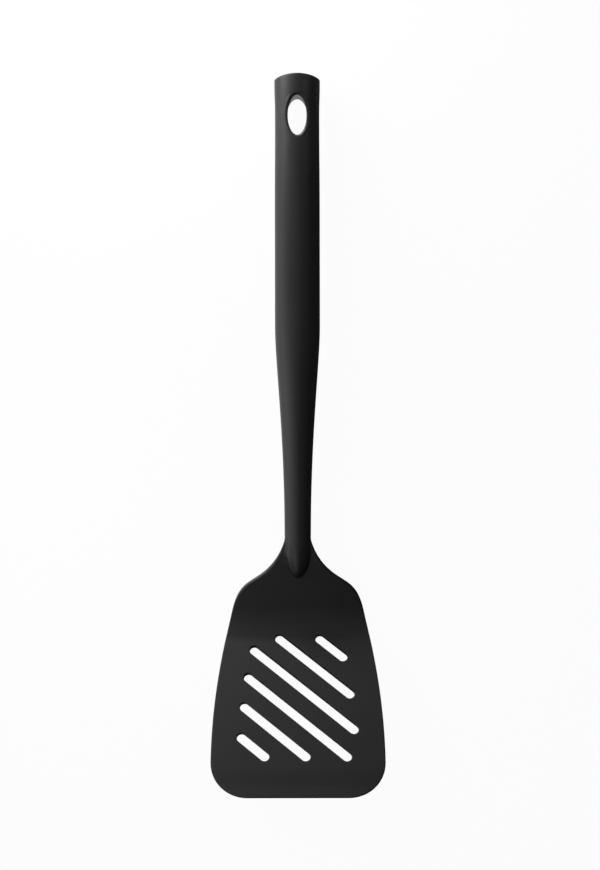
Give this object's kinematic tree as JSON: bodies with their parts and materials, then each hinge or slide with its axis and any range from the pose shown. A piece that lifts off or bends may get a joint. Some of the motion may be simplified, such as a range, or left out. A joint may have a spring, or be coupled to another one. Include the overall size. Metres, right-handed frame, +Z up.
{
  "type": "pancake turner",
  "caption": "Slotted pancake turner: thin tilted blade, bent heel, sloping shoulders, round tapered grip and an oval hanging hole near its domed end.",
  "frame": {"origin": "middle of the footprint, on the table that the turner lies on", "axes": "+Y along the handle from blade to grip, +Z up out of the blade's food side, +X to the right seen from above"},
  "size_m": [0.0826, 0.346, 0.0437],
  "materials": {
    "head_nylon": "moulded black nylon, fine satin texture",
    "rod_steel": "drawn stainless steel",
    "grip_nylon": "moulded black nylon, fine satin texture",
    "cap_nylon": "moulded black nylon, fine satin texture",
    "bush_nylon": "moulded black nylon, smooth satin"
  },
  "bodies": {
    "root": {"blade_head": "head_nylon", "core_rod": "rod_steel", "handle_grip": "grip_nylon", "end_cap": "cap_nylon", "hanging_bush": "bush_nylon"}
  },
  "joints": []
}
